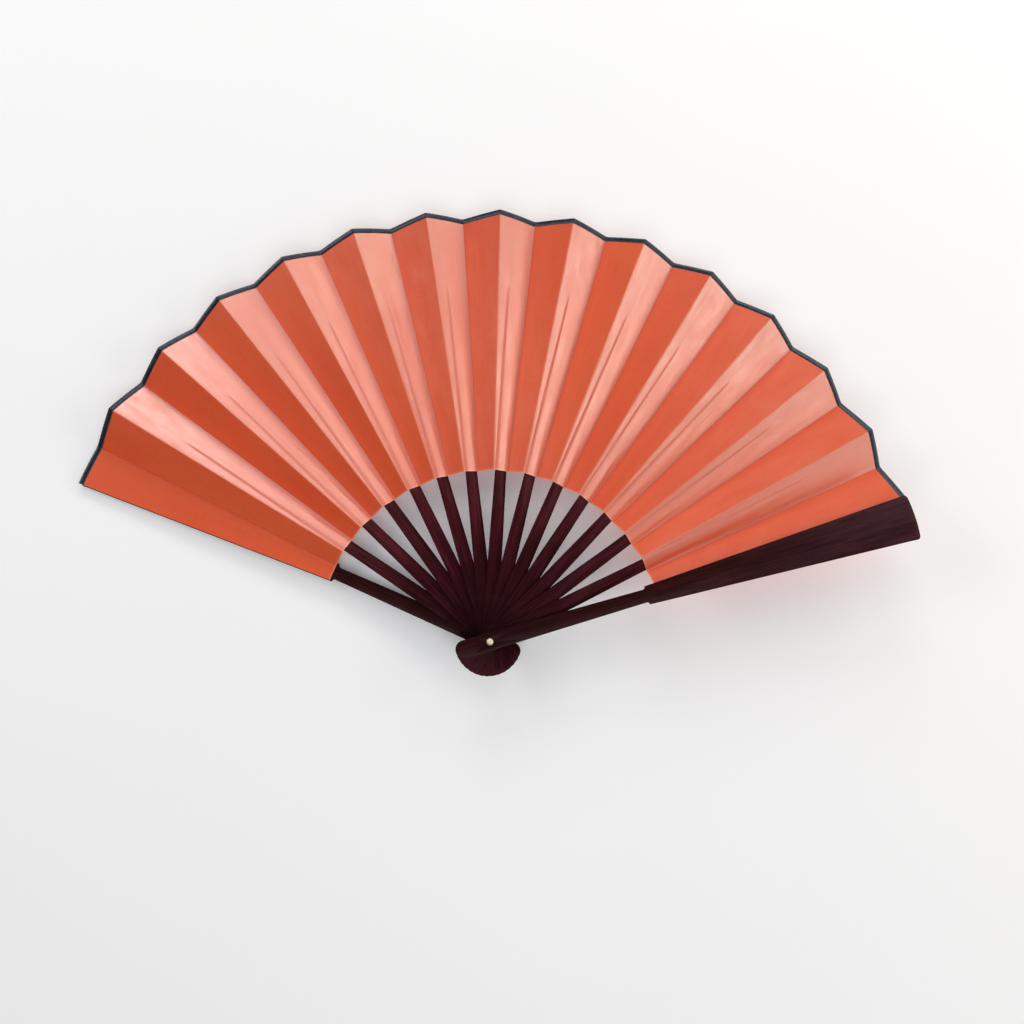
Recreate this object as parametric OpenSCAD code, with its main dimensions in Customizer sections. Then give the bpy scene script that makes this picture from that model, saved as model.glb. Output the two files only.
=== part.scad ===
// Folding fan: two guards, thirteen ribs on one rivet, and a pleated silk leaf with a dark edge ribbon.
// Origin: on the pivot axis, on the flat back of the rivet. +Z is the pivot axis, towards the front guard.
// +Y is the middle rib of the open fan. Units: millimetres.

/* [Sticks] */
// Ribs between the two guards
rib_count = 13; // [5:1:13]
// Angle from one stick to the next when the fan is open, degrees
stick_pitch = 10; // [8:0.5:10.5]
// From the pivot to the rounded end of the tails
tail_len = 16; // [12:1:25]
// Width of a tail
tail_w = 8.2; // [6:0.2:10]
// Thickness of a rib at the pivot
rib_t = 0.9; // [0.7:0.05:1.2]
// Width of a rib a little beyond the pivot
rib_root_w = 6.7; // [5:0.1:8]
// Width of a rib where it meets the leaf
rib_leaf_w = 6.2; // [4:0.1:7]
// Thickness of a rib where it meets the leaf
rib_leaf_t = 0.6; // [0.4:0.05:0.9]
// Air between neighbouring sticks at the pivot
stick_gap = 0.15; // [0.05:0.05:0.4]

/* [Slips] */
// Thickness of the thin slip inside the leaf
slip_t = 0.36; // [0.2:0.02:0.5]
// Width of the slip where it enters the leaf
slip_w = 5.4; // [2:0.1:5.8]
// Radius the slip reaches inside the leaf
slip_reach = 165; // [110:1:190]
// Width of the slip at its point
slip_tip_w = 1; // [0.6:0.1:3]
// Sideways lean of the slip's point towards the raised crease
slip_lean = 1.8; // [0:0.2:4]

/* [Guards] */
// Thickness of a guard
guard_t = 2.2; // [1.5:0.1:4]
// Distance from the pivot to a guard's outer end
guard_reach = 206.5; // [150:0.5:300]
// Radius of the curve across a guard's outer end
guard_end_r = 70; // [30:5:200]
// Width of a guard just below the leaf
guard_neck_w = 6; // [5:0.2:9]
// Width of a guard where it starts to cover the leaf
guard_leaf_w = 9.1; // [7:0.1:12]
// Distance below the leaf at which the front guard widens
front_lap = 5; // [0:0.5:10]
// Distance below the leaf at which the rear guard widens
rear_lap = 1; // [0:0.5:10]
// Width of a guard at its outer end
guard_end_w = 21.6; // [14:0.2:30]
// Radius of the corners at a guard's outer end
guard_corner = 2; // [1:0.25:5]

/* [Leaf] */
// Inner radius of the leaf
leaf_in = 80; // [50:1:120]
// Outer radius of the leaf
leaf_out = 207; // [150:1:290]
// Tilt of a pleat out of the plane of the fan, degrees
pleat_tilt = 30; // [15:1:40]
// Thickness of a pleat glued round its slip
panel_t = 0.7; // [0.55:0.05:0.8]
// Thickness of a free pleat
fold_t = 0.25; // [0.15:0.05:0.4]
// Thickness of an end pleat glued to a guard
end_t = 0.3; // [0.15:0.05:0.5]
// Thickness of a glued pleat under the edge ribbon
hem_t = 0.3; // [0.2:0.02:0.4]

/* [Edge ribbon] */
// Width of the ribbon folded over the outer edge
ribbon_w = 2.4; // [1.5:0.1:5]
// Thickness of the folded ribbon with the leaf between
ribbon_t = 0.64; // [0.5:0.02:0.8]

/* [Rivet] */
// Diameter of the rivet's shank
shank_d = 2.2; // [1.5:0.1:3.5]
// Diameter of the domed front head
dome_d = 3.2; // [3:0.1:6]
// Height of the domed front head
dome_h = 1; // [0.5:0.1:2]
// Diameter of the flat rear head
rear_head_d = 3.8; // [3:0.1:6]
// Thickness of the flat rear head
rear_head_t = 0.6; // [0.4:0.1:1]
// Diameter of the washer
washer_d = 6; // [5:0.1:8]
// Thickness of the washer
washer_t = 0.2; // [0.15:0.05:0.5]

/* [Hidden] */
wood = "#43191f";
silk = "#e8745a";
ribbon = "#23283a";
brass = "#c9b183";

last = rib_count + 1;
stack = rib_t + stick_gap;
quarter = stick_pitch / 4;
rise = tan(quarter) * tan(pleat_tilt);
slope = atan(rise);
half_a = atan(tan(quarter) / cos(pleat_tilt));
shank_gap = 0.05;
bore_d = shank_d + 2 * shank_gap;
loose = 0.05;
glue = 0.02;
crease = 0.3;
washer_z = rear_head_t + loose;
rear_z = washer_z + washer_t + loose;
first_z = rear_z + guard_t + stick_gap + rib_t / 2;
front_z = first_z + (rib_count - 1) * stack + rib_t / 2 + stick_gap;
dome_z = front_z + guard_t + loose;
head_end = 20;
twist_end = leaf_in - 0.1;
hem_in = leaf_out - ribbon_w - 0.3;
cloth_out = leaf_out - 0.3;
stations = 12;

function two(n) = n < 10 ? str("0", n) : str(n);
function stick_angle(k) = 90 + (last / 2 - k) * stick_pitch;
function stick_z(k) = first_z + (k - 1) * stack;
function guard_half(x) =
    (guard_leaf_w + (guard_end_w - guard_leaf_w) * (x - leaf_in) / (guard_reach - leaf_in)) / 2;
function soft(t) = t * t * (3 - 2 * t);

module at_stick(k) rotate([0, 0, stick_angle(k)]) translate([0, 0, stick_z(k)]) children();

module plate(t) translate([0, 0, -t / 2]) linear_extrude(height = t) children();

module bore() translate([0, 0, -50]) cylinder(d = bore_d, h = 100, $fn = 48);

// Rounded tail and the straight shank beyond the pivot, in plan
module tail_plan(reach, reach_w) {
    end_x = tail_w / 2 - tail_len;
    translate([end_x, 0]) circle(d = tail_w, $fn = 48);
    polygon([[end_x, -tail_w / 2], [reach, -reach_w / 2], [reach, reach_w / 2], [end_x, tail_w / 2]]);
}

module ring(r_in, r_out) difference() {
    circle(r = r_out, $fn = 240);
    circle(r = r_in, $fn = 120);
}

// Ring sector about +X: radial sides at -half and +half degrees, drawn in by the low and the high inset
module sector(r_in, r_out, half, low_in, high_in) {
    low = low_in / sin(half);
    high = high_in / sin(half);
    far = r_out * 1.1;
    intersection() {
        ring(r_in, r_out);
        polygon([[low, 0], [far, (low - far) * tan(half)], [far, (far - high) * tan(half)], [high, 0]]);
    }
}

// Four corners of a rib's section at x, rolled about its length
function section(x, w, t, roll) = [
    for (c = [[-w, -t], [w, -t], [w, t], [-w, t]])
        [x, (c[0] * cos(roll) - c[1] * sin(roll)) / 2, (c[0] * sin(roll) + c[1] * cos(roll)) / 2]
];

// The part of a rib that turns from flat at the pivot to the tilt of its pleat
module twist() {
    start = head_end - 1;
    points = [
        for (j = [0 : stations])
            let (t = j / stations, x = start + (twist_end - start) * t)
            each section(
                x,
                rib_root_w + (rib_leaf_w - rib_root_w) * t - 0.06,
                rib_t + (rib_leaf_t - rib_t) * t - 0.04,
                pleat_tilt * soft(t)
            )
    ];
    sides = [
        for (j = [0 : stations - 1], c = [0 : 3])
            let (a = 4 * j + c, b = 4 * j + (c + 1) % 4)
            each [[a, b + 4, b], [a, a + 4, b + 4]]
    ];
    end = 4 * stations;
    polyhedron(
        points = points,
        faces = concat(sides, [[0, 1, 2, 3], [end + 3, end + 2, end + 1, end]]),
        convexity = 4
    );
}

// Outline of a slip, widened by a margin
module slip_plan(start, margin) {
    root = slip_w / 2 + margin;
    tip = slip_tip_w / 2 + margin;
    polygon([
        [start, -root], [leaf_in + 20, -root], [slip_reach + margin, slip_lean - tip],
        [slip_reach + margin, slip_lean + tip], [leaf_in + 20, root * 1.1], [start, root]
    ]);
}

module rib(k) color(wood) at_stick(k) difference() {
    union() {
        plate(rib_t) tail_plan(head_end, rib_root_w);
        twist();
        rotate([pleat_tilt, 0, 0]) plate(slip_t) slip_plan(twist_end - 1, 0);
    }
    bore();
}

// Guard outline: rounded tail, neck, small shoulders, then the wide blade with rounded corners
module guard_plan(lap) {
    x_o = guard_reach - guard_end_r;
    y_c = guard_half(guard_reach) - guard_corner;
    c_x = x_o + sqrt(pow(guard_end_r - guard_corner, 2) - y_c * y_c);
    shoulder = leaf_in - lap;
    notch = guard_half(shoulder) - guard_neck_w / 2;
    tail_plan(shoulder + 1, guard_neck_w);
    blade_plan(shoulder, c_x, 0);
    intersection() {
        translate([x_o, 0]) circle(r = guard_end_r, $fn = 240);
        blade_plan(shoulder, guard_reach, guard_corner);
    }
    for (s = [-1, 1]) {
        translate([c_x, s * y_c]) circle(r = guard_corner, $fn = 48);
        difference() {
            translate([shoulder - notch, s * guard_neck_w / 2 + (s < 0 ? -notch : -0.2)])
                square([notch + 0.5, notch + 0.2]);
            translate([shoulder - notch, s * (guard_neck_w / 2 + notch)]) circle(r = notch, $fn = 32);
        }
    }
}

module blade_plan(start, end, inset) {
    a = guard_half(start) - inset;
    b = guard_half(end) - inset;
    polygon([[start, -a], [end, -b], [end, b], [start, a]]);
}

// Guard seen from the side: flat at the pivot, then leaning by the rise of the creases
module guard_side(face_z, sign) {
    blade = function(x) sign * (rise * x + end_t / 2 + glue);
    xs = [-tail_len - 1, head_end, twist_end, guard_reach + 1];
    inner = [face_z, face_z, blade(twist_end), blade(guard_reach + 1)];
    back = sign * guard_t;
    rotate([90, 0, 0])
        linear_extrude(height = 60, center = true)
            polygon(concat(
                [for (j = [0 : 3]) [xs[j], inner[j]]],
                [for (j = [3 : -1 : 0]) [xs[j], inner[j] + back]]
            ));
}

module guard(k, sign, lap) color(wood) at_stick(k) difference() {
    intersection() {
        translate([0, 0, -40]) linear_extrude(height = 80) guard_plan(lap);
        guard_side(-sign * rib_t / 2, sign);
    }
    bore();
}

module rear_guard() guard(0, -1, rear_lap);

module front_guard() guard(last, 1, front_lap);

// Leaf pleat wrapped round the slip of one rib
module leaf_panel(k) color(silk) at_stick(k) rotate([pleat_tilt, 0, 0]) difference() {
    union() {
        plate(panel_t) sector(leaf_in, hem_in, half_a, crease, crease);
        plate(hem_t) sector(hem_in - 1, cloth_out, half_a, crease, crease);
    }
    plate(slip_t + 0.06) slip_plan(leaf_in - 2, 0.1);
}

// Plan of an end pleat: one radial side at the crease, the other just inside the guard's edge
module end_plan(r_in, r_out, side, inset) {
    apex = inset / sin(quarter);
    start = leaf_in - 5;
    far = guard_reach + 5;
    edge = 0.4;
    intersection() {
        ring(r_in, r_out);
        polygon([
            [apex, 0], [far, side * (apex - far) * tan(quarter)],
            [far, side * (guard_half(far) - edge)], [start, side * (guard_half(start) - edge)]
        ]);
    }
}

// Slab on a guard's inner face, from the low to the high distance off the middle of the end pleat.
// side is +1 on the rear guard, whose crease is on its clockwise edge, and -1 on the front guard.
module end_slab(k, side, low, high, r_in, r_out, inset)
    at_stick(k) rotate([0, side * slope, 0])
        translate([0, 0, side > 0 ? low : -high]) linear_extrude(height = high - low)
            end_plan(r_in, r_out, side, inset);

module leaf_end(k, side) color(silk) end_slab(k, side, -end_t / 2, end_t / 2, leaf_in, cloth_out, crease);

module leaf_end_rear() leaf_end(0, 1);

module leaf_end_front() leaf_end(last, -1);

function unit(v) = v / norm(v);

// A point on the free pleat before stick k: u runs from the low crease (0) to the high crease (1).
// ins holds the insets at the low and at the high crease.
function fold_point(k, r, u, ins) =
    let (
        low = stick_angle(k - 1) - quarter - ins[0] / r * 180 / PI,
        high = stick_angle(k) + quarter + ins[1] / r * 180 / PI,
        wide = 2 * r * tan(quarter),
        along = (ins[0] + (wide - ins[0] - ins[1]) * u) / wide,
        a = low + (high - low) * u
    )
    [r * cos(a), r * sin(a), stick_z(k - 1) - rise * r + (stack + 2 * rise * r) * along];

module fold_plate(k, r_in, r_out, t, ins) {
    steps = 3;
    corner = fold_point(k, r_in, 0, ins);
    n = unit(cross(fold_point(k, r_out, 0, ins) - corner, corner - fold_point(k, r_in, 1, ins)));
    flat_points = [for (r = [r_in, r_out], j = [0 : steps]) fold_point(k, r, j / steps, ins)];
    row = steps + 1;
    top = 2 * row;
    faces = [
        for (j = [0 : steps - 1])
            let (a = j, b = j + 1, c = row + j + 1, d = row + j)
            each [
                [a, b, c], [a, c, d], [top + a, top + c, top + b], [top + a, top + d, top + c],
                [a, top + b, b], [a, top + a, top + b], [c, top + d, d], [c, top + c, top + d]
            ]
    ];
    ends = [
        for (e = [[row, 0], [steps, row + steps]])
            each [[e[0], top + e[1], e[1]], [e[0], top + e[0], top + e[1]]]
    ];
    polyhedron(
        points = concat([for (p = flat_points) p - n * t / 2], [for (p = flat_points) p + n * t / 2]),
        faces = concat(faces, ends),
        convexity = 4
    );
}

// Free pleat between stick k-1 and stick k
module leaf_fold(k) color(silk) fold_plate(k, leaf_in, cloth_out, fold_t, [crease, crease]);

// Strip of edge before stick k and on it; the first one also takes the rear end pleat.
// past is how far the strip runs past its creases; low is its underside on an end pleat.
module edge_strip(k, t, low, r_in, r_out, past) {
    apart = crease - past;
    lap = 2 * crease + past;
    fold_plate(k, r_in, r_out, t, [apart, k == last ? apart : -past]);
    if (k < last)
        at_stick(k) rotate([pleat_tilt, 0, 0]) plate(t) sector(r_in, r_out, half_a, apart, -past);
    if (k == last) end_slab(last, -1, low, t / 2, r_in, r_out, -lap);
    if (k == 1) end_slab(0, 1, low, t / 2, r_in, r_out, -lap);
}

// Ribbon folded over the outer edge of the leaf
module edge_ribbon(k) color(ribbon) difference() {
    edge_strip(k, ribbon_t, -end_t / 2, leaf_out - ribbon_w, leaf_out, 0);
    edge_strip(k, hem_t + 0.06, -end_t, hem_in - 1, cloth_out + 0.05, loose);
}

// One piece: flat rear head, shank and domed front head
module rivet() color(brass) {
    ball = (dome_d * dome_d / 4 + dome_h * dome_h) / (2 * dome_h);
    cylinder(d = rear_head_d, h = rear_head_t, $fn = 48);
    cylinder(d = shank_d, h = dome_z + 0.1, $fn = 48);
    intersection() {
        translate([0, 0, dome_z + dome_h - ball]) sphere(r = ball, $fn = 64);
        translate([0, 0, dome_z]) cylinder(d = dome_d + 1, h = dome_h + 1, $fn = 48);
    }
}

module rivet_washer() color(brass) difference() {
    translate([0, 0, washer_z]) cylinder(d = washer_d, h = washer_t, $fn = 48);
    bore();
}

front_guard();
rear_guard();
rivet();
rivet_washer();
leaf_end_front();
leaf_end_rear();
for (k = [1 : rib_count]) rib(k);
for (k = [1 : rib_count]) leaf_panel(k);
for (k = [1 : last]) leaf_fold(k);
for (k = [1 : last]) edge_ribbon(k);
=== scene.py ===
import math

import bmesh
import bpy
from mathutils import Matrix, Vector, noise


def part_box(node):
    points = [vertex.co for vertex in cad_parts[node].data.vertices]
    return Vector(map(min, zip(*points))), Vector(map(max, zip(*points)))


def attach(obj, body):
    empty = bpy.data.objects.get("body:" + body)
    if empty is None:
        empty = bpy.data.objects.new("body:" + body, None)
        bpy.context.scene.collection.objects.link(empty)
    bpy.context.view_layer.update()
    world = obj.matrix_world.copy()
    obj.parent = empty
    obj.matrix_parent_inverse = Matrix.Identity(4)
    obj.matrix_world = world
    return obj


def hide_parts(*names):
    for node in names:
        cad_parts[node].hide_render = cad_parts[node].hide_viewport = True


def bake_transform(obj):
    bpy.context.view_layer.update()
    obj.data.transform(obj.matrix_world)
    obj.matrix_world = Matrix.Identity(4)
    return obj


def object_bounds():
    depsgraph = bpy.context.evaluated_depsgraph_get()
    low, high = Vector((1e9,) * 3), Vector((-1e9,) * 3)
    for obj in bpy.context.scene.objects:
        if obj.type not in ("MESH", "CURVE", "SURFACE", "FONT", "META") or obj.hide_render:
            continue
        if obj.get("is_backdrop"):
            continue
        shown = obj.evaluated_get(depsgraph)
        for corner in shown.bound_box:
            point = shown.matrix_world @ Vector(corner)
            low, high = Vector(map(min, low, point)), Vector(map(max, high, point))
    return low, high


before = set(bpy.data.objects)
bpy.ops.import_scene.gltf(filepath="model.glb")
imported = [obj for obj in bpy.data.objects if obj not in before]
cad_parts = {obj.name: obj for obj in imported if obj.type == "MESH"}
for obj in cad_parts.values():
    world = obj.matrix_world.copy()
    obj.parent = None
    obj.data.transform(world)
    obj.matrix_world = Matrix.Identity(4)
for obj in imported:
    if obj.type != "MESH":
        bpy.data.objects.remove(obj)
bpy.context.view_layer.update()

# Sizes in millimetres, as the CAD has them; meshes are written in metres, own coordinates in centimetres.
MM = 0.001
MM_PER_CM = 10
CM_PER_M = 100

# Stick 0 is the rear guard and stick LAST the front one. Each is PITCH degrees clockwise of the one
# behind it and STACK above it. A pleat tilts by TILT, so its creases leave the stick's plane by RISE
# per millimetre.
RIBS = 13
LAST = RIBS + 1
BODIES = ["rear_guard"] + [f"rib_{k:02d}" for k in range(1, LAST)] + ["front_guard"]
PITCH = 10.0
QUARTER = math.radians(PITCH / 4)
TILT = math.radians(30)
STACK = 1.05
FIRST_Z = 3.7
RISE = math.tan(QUARTER) * math.tan(TILT)
# Half the angle of a glued pleat laid flat, and the share of a crease's length that shows in plan.
HALF_A = math.atan(math.tan(QUARTER) / math.cos(TILT))
PLAN = math.sqrt(1 - (math.sin(HALF_A) * math.sin(TILT)) ** 2)
# Radii from the pivot, and the guards' widths at the leaf's inner edge and at their end.
LEAF_IN, LEAF_OUT, CLOTH_OUT = 80.0, 207.0, 206.7
RIBBON_IN, RIBBON_OUT = 204.6, 207.15
SLIP_REACH = 165.0
GUARD_REACH, GUARD_W, GUARD_END_W = 206.5, 9.1, 21.6


def stick_angle(k):
    return math.radians(90 + (LAST / 2 - k) * PITCH)


def stick_z(k):
    return FIRST_Z + (k - 1) * STACK


def turned(k, x, y, z):
    """A point in stick k's own frame, x along it, in the row frame in metres."""
    a = stick_angle(k)
    c, s = math.cos(a), math.sin(a)
    return Vector((x * c - y * s, x * s + y * c, stick_z(k) + z)) * MM


def tilted(k, x, y, h):
    """A point on stick k's pleat: y across it and h off its middle plane."""
    c, s = math.cos(TILT), math.sin(TILT)
    return turned(k, x, y * c - h * s, y * s + h * c)


def smooth(t):
    t = min(1.0, max(0.0, t))
    return t * t * (3 - 2 * t)


def ramp(table, x):
    """Value at x on a line through the table's (x, value) pairs, level beyond its ends."""
    for (x0, v0), (x1, v1) in zip(table, table[1:]):
        if x <= x1:
            return v0 + (v1 - v0) * max(0.0, (x - x0)) / (x1 - x0)
    return table[-1][1]


# ---- meshes ------------------------------------------------------------------

SMOOTH_ANGLE = math.radians(40)


def new_mesh(name, verts, faces, coords, material):
    """A mesh that keeps each vertex's own coordinates in the UV map 'cloth' and the attribute 'own'."""
    mesh = bpy.data.meshes.new(name)
    mesh.from_pydata(verts, [], faces)
    bm = bmesh.new()
    bm.from_mesh(mesh)
    bmesh.ops.recalc_face_normals(bm, faces=bm.faces)
    bm.to_mesh(mesh)
    bm.free()
    own = mesh.attributes.new("own", "FLOAT_VECTOR", "POINT")
    own.data.foreach_set("vector", [v / MM_PER_CM for c in coords for v in c])
    uv = mesh.uv_layers.new(name="cloth")
    for loop in mesh.loops:
        c = coords[loop.vertex_index]
        uv.data[loop.index].uv = (c[0] / MM_PER_CM, c[1] / MM_PER_CM)
    mesh.materials.append(material)
    mesh.shade_smooth()
    mesh.set_sharp_from_angle(angle=SMOOTH_ANGLE)
    obj = bpy.data.objects.new(name, mesh)
    bpy.context.scene.collection.objects.link(obj)
    return obj


def shell(name, rows, material):
    """A closed thin shell: rows[i][j] is (top point, bottom point, own coordinates)."""
    n, m = len(rows), len(rows[0])
    flat = [cell for row in rows for cell in row]
    verts = [c[0] for c in flat] + [c[1] for c in flat]
    coords = [c[2] for c in flat] * 2
    under = n * m
    faces = []
    for i in range(n - 1):
        for j in range(m - 1):
            a = i * m + j
            quad = (a, a + 1, a + m + 1, a + m)
            faces += [quad, tuple(v + under for v in reversed(quad))]
    rim = [i * m for i in range(n)]
    rim += [(n - 1) * m + j for j in range(1, m)]
    rim += [i * m + m - 1 for i in range(n - 2, -1, -1)]
    rim += [j for j in range(m - 2, 0, -1)]
    for a, b in zip(rim, rim[1:] + rim[:1]):
        faces.append((a, b, b + under, a + under))
    return new_mesh(name, verts, faces, coords, material)


def tube(name, rings, material):
    """A closed tube through rings of (point, own coordinates)."""
    n = len(rings[0])
    flat = [cell for ring in rings for cell in ring]
    faces = [tuple(range(n)), tuple(len(flat) - n + v for v in reversed(range(n)))]
    for i in range(len(rings) - 1):
        for j in range(n):
            a, b = i * n + j, i * n + (j + 1) % n
            faces.append((a, b, b + n, a + n))
    return new_mesh(name, [c[0] for c in flat], faces, [c[1] for c in flat], material)


# ---- the leaf ----------------------------------------------------------------

# How far the creases are rounded to each side, and how much that lifts or drops the cloth there.
VALLEY_ROUND, VALLEY_LIFT = 2.4, 0.34
RIDGE_ROUND, RIDGE_DROP = 0.8, 0.1
# Half thicknesses of the glued pleats, bare and over the slip, of the free pleats and of the end pleats.
CLOTH_HALF, OVER_SLIP, FOLD_HALF, END_HALF = 0.11, 0.33, 0.09, 0.13
# Where the slip's two edges are across the pleat, at some radii.
SLIP_LOW = [(80, -2.9), (100, -2.8), (SLIP_REACH, 1.2)]
SLIP_HIGH = [(80, 3.1), (100, 3.05), (SLIP_REACH, 2.4)]
# How wide the cloth falls off the slip at its two edges, and the least gaps between columns there.
RIDGE_FALL, VALLEY_FALL, LEAST_FALL = 0.4, 2.2, 0.6
COLUMN_GAP, LOW_GAP, HIGH_GAP = 0.05, 0.15, 0.12
# Columns stand this far from the two creases. Those by the ridge close up where half a pleat is NARROW.
VALLEY_STEPS = (0.0, 0.4, 0.95, 1.6)
RIDGE_STEPS = (0.8, 0.35, 0.0)
NARROW = 5
ROWS, FOLD_ROWS = 46, 24
FILL = 3
# In own coordinates the pleats lie side by side in a row, so that no two show the same piece of cloth.
PLEATS_APART, FOLDS_AT, ENDS_AT = 50, 25, 12
# How much each column from a crease is marked, for the painted valley shade and the pale ridges: for a
# sharp fold, and for a glued pleat's rounded valley.
SHARP_MARKS, ROLLED_MARKS = (1.0, 0.3), (1.0, 0.85, 0.68, 0.5, 0.3, 0.12)


def softened(from_valley, from_ridge):
    """How far the rounding of the creases lifts the cloth above a sharp fold."""
    valley = max(0.0, 1 - from_valley / VALLEY_ROUND)
    ridge = max(0.0, 1 - from_ridge / RIDGE_ROUND)
    return VALLEY_LIFT * valley**2 - RIDGE_DROP * ridge**2


def between(a, b, count):
    """Evenly spaced values between a and b, without either."""
    return [a + (b - a) * (i + 1) / (count + 1) for i in range(count)]


def pleat_columns(rho):
    """Places across a glued pleat from valley to ridge, with the slip's edges among them."""
    a = rho * math.sin(HALF_A)
    low, high = ramp(SLIP_LOW, rho), ramp(SLIP_HIGH, rho)
    squeeze = min(1.0, (a + low - LEAST_FALL) / VALLEY_STEPS[-1])
    left = [-a + step * squeeze for step in VALLEY_STEPS]
    right = [a - step * min(1.0, a / NARROW) for step in RIDGE_STEPS]
    foot = max(left[-1] + COLUMN_GAP, low - VALLEY_FALL)
    brow = min(right[0] - COLUMN_GAP, high + RIDGE_FALL)
    return (
        left
        + between(left[-1], foot, FILL)
        + [foot, max(low, foot + LOW_GAP)]
        + between(low, high, 2)
        + [min(high, brow - HIGH_GAP), brow]
        + between(brow, right[0], FILL)
        + right
    )


# The columns that lie on the slip.
ON_SLIP = range(len(VALLEY_STEPS) + FILL + 1, len(VALLEY_STEPS) + FILL + 5)


# Heights of the long and the fine wrinkles and of an end pleat's swell, and how wide they fade out: at a
# pleat's creases, and towards the ribbon, where the cloth is flat.
LONG_WRINKLE, FINE_WRINKLE, SWELL = 0.11, 0.05, 0.05
CREASE_FADE, RIBBON_FADE, FLAT_RIM = 1.5, 25, 7
TIP_FADE = 5


def wrinkle(k, rho, y):
    """Fine wrinkles that run along a pleat and fade at its edges."""
    a = rho * math.sin(HALF_A)
    fade = smooth((a - abs(y)) / CREASE_FADE) * smooth((LEAF_OUT - FLAT_RIM - rho) / RIBBON_FADE)
    long_folds = noise.noise(Vector((rho * 0.013 + 9.1 * k, y * 0.22, 3.3 * k)))
    fine = noise.noise(Vector((rho * 0.035 - 5.7 * k, y * 0.75, 1.7 * k)))
    return fade * (LONG_WRINKLE * long_folds + FINE_WRINKLE * fine)


def pleat_half(rho, column):
    """Half the thickness of a glued pleat: more where it covers the slip."""
    if column not in ON_SLIP:
        return CLOTH_HALF
    past_tip = (rho - SLIP_REACH - 1) / TIP_FADE
    return CLOTH_HALF + (OVER_SLIP - CLOTH_HALF) * (1 - smooth(past_tip))


def pleat_point(k, rho, y, h):
    a = rho * math.sin(HALF_A)
    point = tilted(k, math.sqrt(rho * rho - y * y), y, h + wrinkle(k, rho, y))
    point.z += softened(y + a, a - y) * MM
    return point


def radial_rows(count=ROWS):
    """Radii from the leaf's inner edge to its outer one."""
    return [LEAF_IN + (CLOTH_OUT - LEAF_IN) * i / count for i in range(count + 1)]


def glued_pleat(k, material):
    rows = []
    for rho in radial_rows():
        row = []
        for column, y in enumerate(pleat_columns(rho)):
            half = pleat_half(rho, column)
            own = (y + PLEATS_APART * k, rho, 0)
            row.append((pleat_point(k, rho, y, half), pleat_point(k, rho, y, -half), own))
        rows.append(row)
    return shell(f"silk_pleat_{k:02d}", rows, material)


def fold_columns(r):
    wide = 2 * r * math.tan(QUARTER)
    low = [step / wide for step in VALLEY_STEPS[:3]]
    high = [1 - step / wide for step in RIDGE_STEPS]
    return low + [0.5] + high


def fold_middle(k, r, u):
    """A point on the free pleat before stick k, from its valley, u 0, to its ridge, u 1."""
    a = stick_angle(k - 1) - QUARTER - u * 2 * QUARTER
    wide = 2 * r * math.tan(QUARTER)
    z = stick_z(k - 1) - RISE * r + (STACK + 2 * RISE * r) * u + softened(u * wide, (1 - u) * wide)
    return Vector((r * math.cos(a), r * math.sin(a), z)) * MM


def fold_normal(k):
    low, high = fold_middle(k, LEAF_IN, 0), fold_middle(k, LEAF_IN, 1)
    return (fold_middle(k, LEAF_OUT, 0.5) - low).cross(low - high).normalized() * MM


def bend_with_sticks(obj):
    """Bakes the free pleat's placement into its mesh, whose creases lie on the sticks at each side."""
    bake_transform(obj)


def free_pleat(k, material):
    n = fold_normal(k)
    rows = []
    for rho in radial_rows(FOLD_ROWS):
        r = rho * PLAN
        row = []
        for u in fold_columns(r):
            p = fold_middle(k, r, u)
            own = (u * 2 * r * QUARTER + PLEATS_APART * k + FOLDS_AT, rho, 0)
            row.append((p + n * FOLD_HALF, p - n * FOLD_HALF, own))
        rows.append(row)
    return shell(f"silk_fold_{k:02d}", rows, material)


# An end pleat's columns by its crease, those between, and how far its cut edge stays inside the guard's.
END_STEPS, END_FILL, END_INSET = (0.0, 0.35, 1.0), 5, 0.4
FAR = 99.0


def guard_half(x):
    return (GUARD_W + (GUARD_END_W - GUARD_W) * (x - LEAF_IN) / (GUARD_REACH - LEAF_IN)) / 2


def end_columns(x, side):
    """Places across an end pleat, from its crease to its outer edge at the guard's side."""
    crease, edge = -side * x * math.tan(QUARTER), side * (guard_half(x) - END_INSET)
    near = [crease + side * step for step in END_STEPS]
    return near + between(near[-1], edge, END_FILL) + [edge]


def end_point(k, side, rho, y, h):
    """A point on the end pleat of stick k, which lies on the guard's inner face."""
    x = math.sqrt(rho * rho - y * y)
    crease = abs(y + side * x * math.tan(QUARTER))
    lift = softened(crease, FAR) if side > 0 else softened(FAR, crease)
    swell = SWELL * noise.noise(Vector((rho * 0.02, y * 0.3, 40 + k))) if side > 0 else 0.0
    return turned(k, x, y, -side * RISE * x + h + lift + max(0.0, swell))


def end_pleat(k, side, name, material):
    rows = []
    for rho in radial_rows():
        row = []
        for y in end_columns(rho * PLAN, side):
            top = end_point(k, side, rho, y, END_HALF)
            low = end_point(k, side, rho, y, -END_HALF)
            row.append((top, low, (y + PLEATS_APART * k + ENDS_AT, rho, 0)))
        rows.append(row)
    return shell(name, rows, material)


# ---- the ribbon --------------------------------------------------------------

# The ribbon's rounded lips and fold, and half its height on each kind of pleat.
LIP, FOLD_ROUND, FOLD_TIP = 0.12, 0.3, 0.08
RIBBON_ON_PLEAT, RIBBON_ON_FOLD, RIBBON_AT_GUARD, RIBBON_FREE = 0.24, 0.2, 0.14, 0.26


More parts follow.
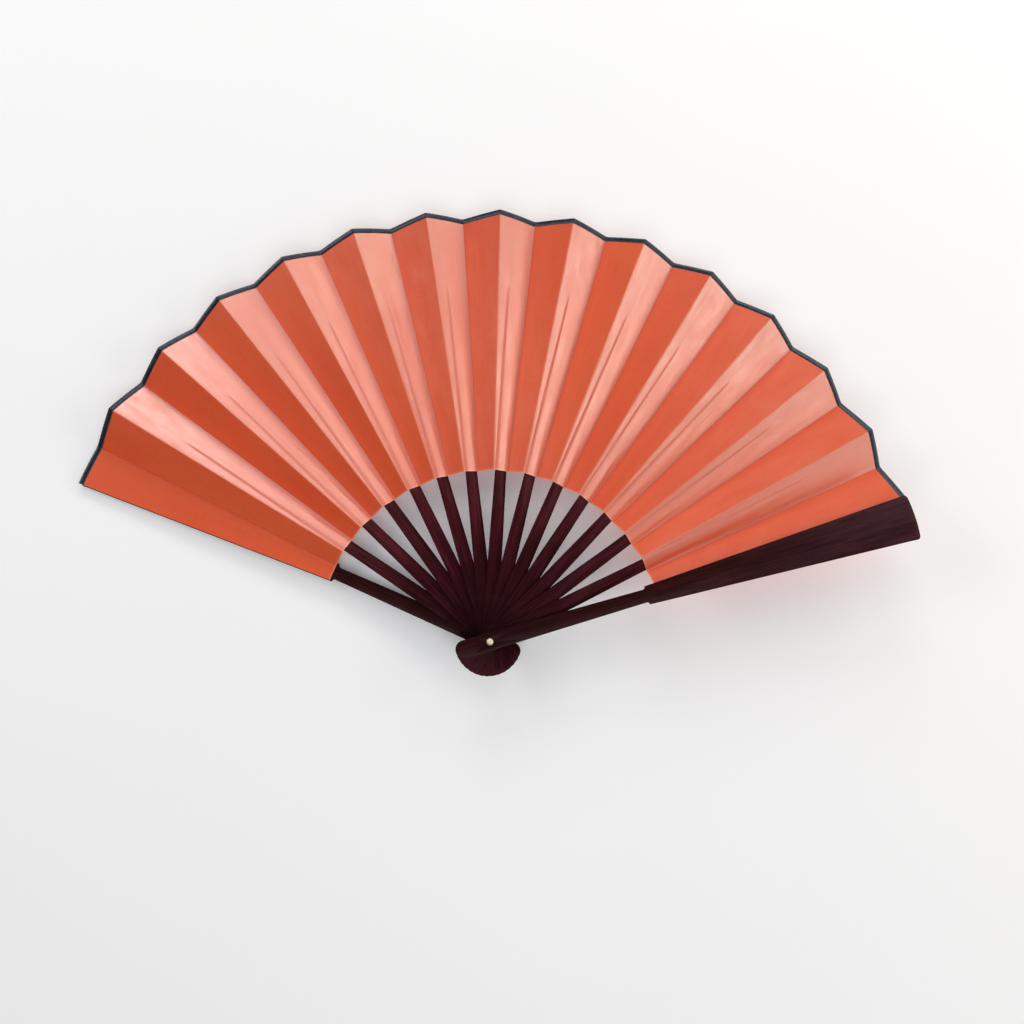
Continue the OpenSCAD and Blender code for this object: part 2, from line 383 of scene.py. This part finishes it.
def ribbon_section(half_high, half_low):
    """(radius, height) round the folded ribbon, with its two lips and rounded fold."""
    return [
        (RIBBON_IN, half_high - FOLD_TIP), (RIBBON_IN + LIP, half_high),
        (RIBBON_OUT - FOLD_ROUND, half_high), (RIBBON_OUT - FOLD_TIP, half_high * 0.6), (RIBBON_OUT, 0.0),
        (RIBBON_OUT - FOLD_TIP, -half_low * 0.6), (RIBBON_OUT - FOLD_ROUND, -half_low),
        (RIBBON_IN + LIP, -half_low), (RIBBON_IN, FOLD_TIP - half_low),
    ]


def pleat_ribbon(k, material):
    share = [y / (CLOTH_OUT * math.sin(HALF_A)) for y in pleat_columns(CLOTH_OUT)]
    rings = []
    for t in share:
        ring = []
        for rho, h in ribbon_section(RIBBON_ON_PLEAT, RIBBON_ON_PLEAT):
            y = t * rho * math.sin(HALF_A)
            ring.append((pleat_point(k, rho, y, h), (y + PLEATS_APART * k, rho, h)))
        rings.append(ring)
    return tube(f"ribbon_pleat_{k:02d}", rings, material)


def fold_ribbon(k, material):
    n = fold_normal(k)
    rings = []
    for u in fold_columns(CLOTH_OUT):
        ring = []
        for rho, h in ribbon_section(RIBBON_ON_FOLD, RIBBON_ON_FOLD):
            p = fold_middle(k, rho * PLAN, u) + n * h
            ring.append((p, (u * 2 * rho * QUARTER + PLEATS_APART * k + FOLDS_AT, rho, h)))
        rings.append(ring)
    return tube(f"ribbon_fold_{k:02d}", rings, material)


def end_ribbon(k, side, name, material):
    halves = (RIBBON_FREE, RIBBON_AT_GUARD) if side > 0 else (RIBBON_AT_GUARD, RIBBON_FREE)
    rings = []
    for y_out in end_columns(CLOTH_OUT * PLAN, side):
        ring = []
        for rho, h in ribbon_section(*halves):
            y = y_out * rho / CLOTH_OUT
            ring.append((end_point(k, side, rho, y, h), (y + PLEATS_APART * k + ENDS_AT, rho, h)))
        rings.append(ring)
    return tube(name, rings, material)


# ---- wood and metal ----------------------------------------------------------

# Sticks are this many centimetres apart in own coordinates, so that each has a grain of its own.
STICKS_APART = 3
WELD, FLAT_ANGLE, CORNER_ANGLE = 1e-6, math.radians(0.4), math.radians(28)
GUARD_EASE, RIB_EASE, WASHER_EASE = 0.3, 0.12, 0.04


def own_frame(k):
    """From the row frame in metres to stick k's own frame in centimetres."""
    turn = Matrix.Rotation(-stick_angle(k), 4, "Z")
    drop = Matrix.Translation((0, 0, -stick_z(k) * MM))
    return Matrix.Scale(CM_PER_M, 4) @ turn @ drop


def eased_copy(node, name, ease, material, k=0):
    """A copy of a CAD node with its corners eased, which stands for the node."""
    bm = bmesh.new()
    bm.from_mesh(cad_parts[node].data)
    bmesh.ops.remove_doubles(bm, verts=bm.verts, dist=WELD)
    bmesh.ops.dissolve_limit(
        bm, angle_limit=FLAT_ANGLE, verts=bm.verts, edges=bm.edges, use_dissolve_boundaries=False
    )
    corners = [e for e in bm.edges if e.is_manifold and e.calc_face_angle(0) > CORNER_ANGLE]
    bmesh.ops.bevel(
        bm, geom=corners, offset=ease * MM, offset_type="OFFSET", segments=2, profile=0.5, affect="EDGES",
        clamp_overlap=True,
    )
    bmesh.ops.triangulate(bm, faces=[f for f in bm.faces if len(f.verts) > 4])
    mesh = bpy.data.meshes.new(name)
    bm.to_mesh(mesh)
    bm.free()
    to_own = own_frame(k)
    own = mesh.attributes.new("own", "FLOAT_VECTOR", "POINT")
    apart = Vector((0, 0, STICKS_APART * k))
    own.data.foreach_set("vector", [c for v in mesh.vertices for c in to_own @ v.co + apart])
    mesh.materials.append(material)
    mesh.shade_smooth()
    mesh.set_sharp_from_angle(angle=SMOOTH_ANGLE)
    obj = bpy.data.objects.new(name, mesh)
    bpy.context.scene.collection.objects.link(obj)
    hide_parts(node)
    return obj


def lathe(name, profile, material, steps=64):
    """A closed turned shape about the pivot from (radius, z) pairs that start and end on the axis."""
    verts, faces = [Vector((0, 0, profile[0][1])) * MM], []
    rings = profile[1:-1]
    for r, z in rings:
        for i in range(steps):
            a = 2 * math.pi * i / steps
            verts.append(Vector((r * math.cos(a), r * math.sin(a), z)) * MM)
    verts.append(Vector((0, 0, profile[-1][1])) * MM)
    end = len(verts) - 1
    for i in range(steps):
        j = (i + 1) % steps
        faces.append((0, 1 + j, 1 + i))
        faces.append((end, end - steps + i, end - steps + j))
        for ring in range(len(rings) - 1):
            a = 1 + ring * steps
            faces.append((a + i, a + j, a + steps + j, a + steps + i))
    return new_mesh(name, verts, faces, [tuple(v / MM) for v in verts], material)


# ---- materials ---------------------------------------------------------------


def new_material(name, shader):
    mat = bpy.data.materials.new(name)
    mat.use_nodes = True
    for socket, value in shader.items():
        mat.node_tree.nodes["Principled BSDF"].inputs[socket].default_value = value
    return mat


def node(mat, kind, inputs, **settings):
    """A new node; each input is a value or another node's output."""
    made = mat.node_tree.nodes.new(kind)
    for name, value in settings.items():
        setattr(made, name, value)
    for socket, value in inputs.items():
        if isinstance(value, bpy.types.NodeSocket):
            mat.node_tree.links.new(value, made.inputs[socket])
        else:
            made.inputs[socket].default_value = value
    return made


def drive(mat, socket, output):
    mat.node_tree.links.new(output, mat.node_tree.nodes["Principled BSDF"].inputs[socket])


def own_coords(mat, scale):
    """The piece's own coordinates in centimetres, times a scale for each axis."""
    own = node(mat, "ShaderNodeAttribute", {}, attribute_name="own")
    at = {"Vector": own.outputs["Vector"], "Scale": scale}
    return node(mat, "ShaderNodeMapping", at).outputs["Vector"]


def cloudy(mat, scale, detail=3.0, roughness=0.55):
    """Noise with as many blotches to the centimetre along each axis as scale says."""
    at = {"Vector": own_coords(mat, scale), "Scale": 1.0, "Detail": detail, "Roughness": roughness}
    return node(mat, "ShaderNodeTexNoise", at).outputs["Fac"]


def threads(mat, axis, per_cm, waver=1.0):
    """Parallel threads, dark to light across each, which waver a little."""
    at = {
        "Vector": own_coords(mat, (1, 1, 1)), "Scale": per_cm * math.pi / 10, "Distortion": waver,
        "Detail": 2.0, "Detail Scale": 0.6,
    }
    return node(mat, "ShaderNodeTexWave", at, bands_direction=axis).outputs["Fac"]


def maths(mat, operation, a, b):
    made = node(mat, "ShaderNodeMath", {0: a, 1: b}, operation=operation)
    return made.outputs[0]


def fit_range(mat, value, low, high, to_low, to_high):
    at = {"Value": value, "From Min": low, "From Max": high, "To Min": to_low, "To Max": to_high}
    return node(mat, "ShaderNodeMapRange", at).outputs["Result"]


def blended(mat, share, a, b):
    made = node(mat, "ShaderNodeMix", {0: share, 6: a, 7: b}, data_type="RGBA")
    return made.outputs[2]


def bumped(mat, height, depth, strength=1.0, under=None):
    """Relief of the given depth in millimetres, over the relief under it."""
    at = {"Height": height, "Distance": depth * MM, "Strength": strength}
    if under is not None:
        at["Normal"] = under
    return node(mat, "ShaderNodeBump", at).outputs["Normal"]


CORAL = (0.82, 0.105, 0.024, 1)
CORAL_DEEP = (0.76, 0.082, 0.017, 1)
# The pale coral is the colour of the pale slubs and worn ridges, and is also painted highlight on the
# ridges and the inner edge.
CORAL_PALE_AND_HIGHLIGHT = (0.92, 0.26, 0.13, 1)
# The dark coral is the colour of the dark slubs, and is also painted shade in the valleys.
CORAL_DARK_AND_PAINTED_SHADE = (0.58, 0.050, 0.010, 1)
# The leaf's cut inner edge carries a painted highlight up to the first distance from it, and none from the
# second on.
EDGE_HIGHLIGHT_REACH = (0.3, 0.8)
WARP_PER_CM, WEFT_PER_CM = 30, 26


def silk_material(name, gloss, ior, smoothest, roughest):
    """Plain-woven coral silk: slubs, fine wrinkles, painted shade in the valleys, pale ridges that are
    partly worn and partly painted highlight, and a painted highlight along the inner edge.
    """
    mat = new_material(name, {
        "Specular IOR Level": gloss, "Specular Tint": (1.0, 0.92, 0.88, 1), "IOR": ior, "Sheen Weight": 0.1,
        "Sheen Roughness": 0.35, "Sheen Tint": (1.0, 0.72, 0.66, 1),
    })
    patches = fit_range(mat, cloudy(mat, (0.3, 0.12, 1)), 0.35, 0.65, 0.0, 1.0)
    slubs = fit_range(mat, cloudy(mat, (14, 0.5, 1), 2), 0.45, 0.75, 0.0, 0.2)
    weft_slubs = fit_range(mat, cloudy(mat, (1.1, 26, 1), 2), 0.52, 0.8, 0.0, 0.16)
    crease = node(mat, "ShaderNodeAttribute", {}, attribute_name="crease").outputs["Fac"]
    # Paler ridges, in patches: partly wear, partly painted highlight.
    worn_and_highlit_patches = cloudy(mat, (3, 1.2, 1), 4)
    ridge = maths(mat, "MULTIPLY", fit_range(mat, crease, 0.1, 1.0, 0.0, 1.0), worn_and_highlit_patches)
    # Painted shade: the valleys are darkened in the colour.
    valley = fit_range(mat, crease, -1.0, -0.1, 0.55, 0.0)
    colour = blended(mat, patches, CORAL_DEEP, CORAL)
    colour = blended(mat, slubs, colour, CORAL_DARK_AND_PAINTED_SHADE)
    colour = blended(mat, weft_slubs, colour, CORAL_PALE_AND_HIGHLIGHT)
    colour = blended(mat, valley, colour, CORAL_DARK_AND_PAINTED_SHADE)
    colour = blended(mat, ridge, colour, CORAL_PALE_AND_HIGHLIGHT)
    from_pivot = node(mat, "ShaderNodeSeparateXYZ", {"Vector": own_coords(mat, (1, 1, 1))}).outputs["Y"]
    edge = [(LEAF_IN + reach) / MM_PER_CM for reach in EDGE_HIGHLIGHT_REACH]
    # Painted highlight along the cut inner edge.
    cut = fit_range(mat, from_pivot, *edge, 0.75, 0.0)
    drive(mat, "Base Color", blended(mat, cut, colour, CORAL_PALE_AND_HIGHLIGHT))
    drive(mat, "Roughness", fit_range(mat, cloudy(mat, (2, 0.6, 1)), 0.3, 0.7, smoothest, roughest))
    weave = maths(mat, "MAXIMUM", threads(mat, "X", WARP_PER_CM), threads(mat, "Y", WEFT_PER_CM))
    relief = bumped(mat, cloudy(mat, (5, 0.35, 1), 4), 0.12, 0.6)
    relief = bumped(mat, maths(mat, "ADD", slubs, weft_slubs), 0.03, 0.6, relief)
    drive(mat, "Normal", bumped(mat, weave, 0.02, 0.7, relief))
    return mat


# GUARD_WOOD and RIB_WOOD are each the dark, the middle and the light of the grain.
# A painted shade colour for the sticks near the pivot, where they overlap.
PIVOT_SHADE_WOOD = (0.010, 0.0014, 0.0020, 1)
# A painted sheen colour, paler and violet, for the sticks towards the tip.
TIP_SHEEN_WOOD = (0.070, 0.031, 0.043, 1)
WOOD_PORES = (0.004, 0.001, 0.002, 1)
GUARD_WOOD = (0.010, 0.0014, 0.0014, 1), (0.028, 0.0036, 0.0040, 1), (0.060, 0.010, 0.012, 1)
RIB_WOOD = (0.020, 0.002, 0.0035, 1), (0.055, 0.0045, 0.010, 1), (0.135, 0.016, 0.032, 1)


def wood_material(name, dark, mid, light, gloss):
    """Stained wood with grain along the stick and open pores, darker near the pivot with painted shade
    where the sticks overlap, and paler and more violet towards the tip with a painted sheen.
    """
    mat = new_material(name, {
        "Specular IOR Level": 0.16, "Specular Tint": (1.0, 0.36, 0.38, 1), "Coat Weight": gloss,
        "Coat Roughness": 0.25, "Coat Tint": (1.0, 0.6, 0.6, 1),
    })
    along = node(mat, "ShaderNodeSeparateXYZ", {"Vector": own_coords(mat, (1, 1, 1))}).outputs["X"]
    bands = fit_range(mat, cloudy(mat, (0.22, 3.2, 3.2), 5, 0.6), 0.3, 0.7, 0.0, 1.0)
    fine = fit_range(mat, cloudy(mat, (0.45, 12, 12), 3, 0.6), 0.42, 0.66, 0.0, 1.0)
    pores = fit_range(mat, cloudy(mat, (1.6, 55, 55), 2, 0.5), 0.58, 0.7, 0.0, 1.0)
    stain = fit_range(mat, cloudy(mat, (0.5, 0.8, 0.8), 3), 0.35, 0.7, 0.0, 0.8)
    # Painted shade near the pivot, where the sticks overlap.
    pivot_shade = fit_range(mat, along, 1.5, 6.0, 0.85, 0.0)
    tail = fit_range(mat, along, -0.8, -0.4, 0.45, 1.0)
    # Painted sheen towards the tip.
    tip_sheen = fit_range(mat, along, 12.0, 19.5, 0.0, 0.8)
    colour = blended(mat, bands, dark, mid)
    colour = blended(mat, maths(mat, "MULTIPLY", fine, 0.7), colour, light)
    colour = blended(mat, stain, colour, dark)
    colour = blended(mat, maths(mat, "MULTIPLY", pivot_shade, tail), colour, PIVOT_SHADE_WOOD)
    colour = blended(mat, maths(mat, "MULTIPLY", tip_sheen, bands), colour, TIP_SHEEN_WOOD)
    drive(mat, "Base Color", blended(mat, maths(mat, "MULTIPLY", pores, 0.7), colour, WOOD_PORES))
    drive(mat, "Roughness", fit_range(mat, fine, 0.0, 1.0, 0.34, 0.55))
    relief = bumped(mat, bands, 0.06, 0.5)
    relief = bumped(mat, fine, 0.04, 0.7, relief)
    drive(mat, "Normal", bumped(mat, maths(mat, "SUBTRACT", 1.0, pores), 0.05, 0.8, relief))
    return mat


BLACK_GROOVE = (0.004, 0.004, 0.005, 1)
BLACK_THREAD = (0.010, 0.011, 0.014, 1)
BLACK_WORN = (0.018, 0.020, 0.027, 1)
RIBBON_RIBS_PER_CM = 22


def ribbon_material():
    """Near-black ribbed ribbon with a slate-blue sheen."""
    mat = new_material("black_ribbon", {
        "Specular IOR Level": 0.85, "Specular Tint": (0.62, 0.78, 1.0, 1), "Sheen Weight": 0.04,
        "Sheen Roughness": 0.3, "Sheen Tint": (0.42, 0.56, 0.85, 1),
    })
    ribs = threads(mat, "X", RIBBON_RIBS_PER_CM, 0.5)
    worn = fit_range(mat, cloudy(mat, (1.5, 3, 3), 4), 0.4, 0.75, 0.0, 1.0)
    colour = blended(mat, ribs, BLACK_GROOVE, BLACK_THREAD)
    drive(mat, "Base Color", blended(mat, worn, colour, BLACK_WORN))
    drive(mat, "Roughness", fit_range(mat, worn, 0.0, 1.0, 0.24, 0.34))
    drive(mat, "Normal", bumped(mat, ribs, 0.05, 0.8))
    return mat


PALE_BRASS, TARNISH = (0.90, 0.84, 0.66, 1), (0.70, 0.58, 0.36, 1)


def brass_material():
    """Pale turned brass with fine scratches and a little tarnish."""
    mat = new_material("pale_brass", {"Metallic": 0.75})
    tarnish = fit_range(mat, cloudy(mat, (14, 14, 14), 4), 0.4, 0.7, 0.0, 1.0)
    scratches = cloudy(mat, (8, 160, 40), 2)
    drive(mat, "Base Color", blended(mat, tarnish, PALE_BRASS, TARNISH))
    drive(mat, "Roughness", fit_range(mat, scratches, 0.3, 0.7, 0.36, 0.55))
    drive(mat, "Normal", bumped(mat, scratches, 0.002, 0.5))
    return mat


def floor_material():
    """Matt near-white, with a faint glow that keeps the ground as white as the photograph's."""
    mat = new_material("pale_floor", {
        "Roughness": 0.9, "Specular IOR Level": 0.1, "Emission Color": (0.92, 0.95, 1.0, 1),
        "Emission Strength": 0.13,
    })
    grain = node(mat, "ShaderNodeTexNoise", {"Scale": 40.0, "Detail": 4.0}).outputs["Fac"]
    drive(mat, "Base Color", blended(mat, grain, (0.90, 0.905, 0.92, 1), (0.93, 0.935, 0.95, 1)))
    return mat


# ---- the pieces --------------------------------------------------------------


def mark_creases(obj, across):
    """Keeps how near each column is to a ridge, 1, or a valley, -1, for the painted shade in the valleys
    and the worn, highlit ridges.
    """
    count = len(obj.data.vertices) // len(across)
    marks = obj.data.attributes.new("crease", "FLOAT", "POINT")
    marks.data.foreach_set("value", across * count)


def crease_marks(count, first, last, spread=SHARP_MARKS):
    """Marks for the columns of a pleat whose first and last columns are on creases, or 0 on a cut edge."""
    marks = [0.0] * count
    for column, share in enumerate(spread):
        marks[column] = first * share
    for column, share in enumerate(SHARP_MARKS):
        marks[-1 - column] += last * share
    return marks


def glued_pleats(silk, ribbon):
    for k in range(1, LAST):
        pleat, edge = glued_pleat(k, silk), pleat_ribbon(k, ribbon)
        mark_creases(pleat, crease_marks(len(pleat_columns(LEAF_OUT)), -1.0, 1.0, ROLLED_MARKS))
        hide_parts(f"leaf_panel_{k:02d}")
        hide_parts(f"edge_ribbon_{k:02d}")
        for piece, slot in ((pleat, "leaf_silk"), (edge, "edge_ribbon")):
            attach(piece, BODIES[k])


def free_pleats(silk, ribbon):
    for k in range(1, LAST + 1):
        pleat, edge = free_pleat(k, silk), fold_ribbon(k, ribbon)
        mark_creases(pleat, crease_marks(len(fold_columns(LEAF_OUT)), -1.0, 1.0))
        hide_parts(f"leaf_fold_{k:02d}")
        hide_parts(f"edge_ribbon_{k:02d}")
        for piece, slot in ((pleat, "leaf_silk"), (edge, "edge_ribbon")):
            bend_with_sticks(piece)


def end_pleats(silk, ribbon):
    ends = ((0, 1, "rear", 1, -1.0), (LAST, -1, "front", LAST, 1.0))
    for k, side, name, ribbon_node, mark in ends:
        pleat = end_pleat(k, side, f"silk_end_{name}", silk)
        edge = end_ribbon(k, side, f"ribbon_end_{name}", ribbon)
        mark_creases(pleat, crease_marks(len(end_columns(LEAF_OUT, side)), mark, 0.0))
        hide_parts(f"leaf_end_{name}")
        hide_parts(f"edge_ribbon_{ribbon_node:02d}")
        for piece, slot in ((pleat, "leaf_silk"), (edge, "edge_ribbon")):
            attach(piece, BODIES[k])


def sticks(guard_wood, rib_wood):
    guard, rib = (GUARD_EASE, guard_wood, "guard_wood"), (RIB_EASE, rib_wood, "rib_wood")
    for k, body in enumerate(BODIES):
        ease, wood, slot = guard if k in (0, LAST) else rib
        piece = eased_copy(body, f"wood_{body}", ease, wood, k)
        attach(piece, body)


def dome(radius, height, base, steps=10):
    """(radius, z) pairs of a domed head from its rim up to its top on the axis."""
    sphere = (radius**2 + height**2) / (2 * height)
    reach = math.asin(radius / sphere)
    arc = [reach * (1 - i / steps) for i in range(steps + 1)]
    return [(sphere * math.sin(a), base + height - sphere + sphere * math.cos(a)) for a in arc]


HEAD_R, SHANK_R, FOOT_R = 1.6, 1.1, 1.9
HEAD_H, FOOT_H, RIM = 1.0, 0.6, 0.12


def rivet(brass):
    """A flat foot with rounded edges, the shank, and a domed head on a low rim."""
    low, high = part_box("rivet")
    top, bottom = high.z / MM, low.z / MM
    neck = top - HEAD_H
    profile = [
        (0, bottom), (FOOT_R - 0.25, bottom), (FOOT_R - 0.07, bottom + 0.07), (FOOT_R, bottom + 0.25),
        (FOOT_R, bottom + FOOT_H - RIM), (FOOT_R - RIM, bottom + FOOT_H), (SHANK_R, bottom + FOOT_H),
        (SHANK_R, neck), (HEAD_R - RIM, neck), (HEAD_R, neck + RIM / 2), (HEAD_R, neck + RIM),
    ]
    profile += dome(HEAD_R, HEAD_H - RIM, neck + RIM)[1:-1]
    profile.append((0, top))
    piece = lathe("brass_rivet", profile, brass)
    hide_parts("rivet")
    return piece


def pins(brass):
    washer = eased_copy("rivet_washer", "brass_washer", WASHER_EASE, brass)
    for piece in (rivet(brass), washer):
        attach(piece, "rear_guard")


# ---- floor, light and camera -------------------------------------------------

FLOOR_REACH, FLOOR_GAP = 3.0, 0.1


def floor(material):
    """A square floor just under the fan's lowest point."""
    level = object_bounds()[0].z - FLOOR_GAP * MM
    sides = ((-1, -1), (1, -1), (1, 1), (-1, 1))
    corners = [(x * FLOOR_REACH, y * FLOOR_REACH, level) for x, y in sides]
    mesh = bpy.data.meshes.new("floor")
    mesh.from_pydata(corners, [], [(0, 1, 2, 3)])
    mesh.materials.append(material)
    plane = bpy.data.objects.new("floor", mesh)
    bpy.context.scene.collection.objects.link(plane)
    plane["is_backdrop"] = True


LEAF_MIDDLE = Vector((0, 0.12, 0))
COOL, DAY, LATE, WARM = (0.97, 0.98, 1.0), (1.0, 0.99, 0.97), (1.0, 0.97, 0.92), (1.0, 0.95, 0.86)
WARMEST = (1.0, 0.94, 0.84)
# Name, azimuth from +X towards +Y, elevation, distance, width and height in metres, watts, colour.
# The high ones light the leaf evenly. The glued pleats mirror the low ones on the far and right sides,
# and the free pleats mirror the one on the left.
LIGHTS = [
    ("high_far", 80, 58, 0.9, (0.8, 0.5), 0.9, COOL),
    ("high_near", 275, 58, 0.9, (0.8, 0.5), 2.6, COOL),
    ("window", 97, 26, 0.95, (0.45, 0.3), 2.4, DAY),
    ("right_far", 57, 27, 0.95, (0.4, 0.25), 1.3, WARM),
    ("right_near", 8, 25, 0.95, (0.8, 0.25), 2.65, WARMEST),
    ("right_end", 330, 22, 0.95, (0.4, 0.25), 0.5, WARMEST),
    ("left_side", 167, 31, 0.95, (0.45, 0.25), 2.3, LATE),
]
WORLD_STRENGTH = 0.12


def soft_light(name, azimuth, elevation, distance, size, power, colour):
    """An area light aimed at the leaf's middle."""
    a, e = math.radians(azimuth), math.radians(elevation)
    away = Vector((math.cos(a) * math.cos(e), math.sin(a) * math.cos(e), math.sin(e)))
    data = bpy.data.lights.new(name, "AREA")
    data.shape, data.energy, data.color = "RECTANGLE", power, colour
    data.size, data.size_y = size
    light = bpy.data.objects.new(name, data)
    light.location = LEAF_MIDDLE + away * distance
    light.rotation_mode = "QUATERNION"
    light.rotation_quaternion = (-away).to_track_quat("-Z", "Y")
    bpy.context.scene.collection.objects.link(light)


def studio():
    world = bpy.data.worlds.new("studio")
    world.use_nodes = True
    background = world.node_tree.nodes["Background"]
    background.inputs["Color"].default_value = (1.0, 1.0, 1.0, 1)
    background.inputs["Strength"].default_value = WORLD_STRENGTH
    bpy.context.scene.world = world
    for light in LIGHTS:
        soft_light(*light)


SENSOR, LENS = 36, 29.88
CAMERA_PLACE = Vector((-15.75, 12.74, 406.43))
CAMERA_RIGHT, CAMERA_UP = Vector((0.99582, 0.06515, 0.06402)), Vector((-0.07225, 0.99065, 0.11575))


def camera():
    """Nearly above the pivot, leaning 8 degrees towards the leaf and turned 4 degrees anticlockwise."""
    data = bpy.data.cameras.new("camera")
    data.sensor_width, data.lens = SENSOR, LENS
    data.clip_start, data.clip_end = 0.01, 20
    view = bpy.data.objects.new("camera", data)
    back = CAMERA_RIGHT.cross(CAMERA_UP).normalized()
    up = back.cross(CAMERA_RIGHT).normalized()
    place = Matrix((CAMERA_RIGHT.normalized(), up, back)).transposed().to_4x4()
    place.translation = CAMERA_PLACE * MM
    view.matrix_world = place
    bpy.context.scene.collection.objects.link(view)
    bpy.context.scene.camera = view
    bpy.context.scene.view_settings.view_transform = "Standard"


def build():
    pressed = silk_material("pressed_silk", gloss=1.0, ior=2.0, smoothest=0.3, roughest=0.42)
    matt = silk_material("matt_silk", gloss=0.6, ior=1.5, smoothest=0.42, roughest=0.55)
    ribbon = ribbon_material()
    glued_pleats(pressed, ribbon)
    free_pleats(matt, ribbon)
    end_pleats(matt, ribbon)
    sticks(
        wood_material("guard_wood", *GUARD_WOOD, gloss=0.1),
        wood_material("rib_wood", *RIB_WOOD, gloss=0.04),
    )
    pins(brass_material())
    floor(floor_material())
    studio()
    camera()


build()
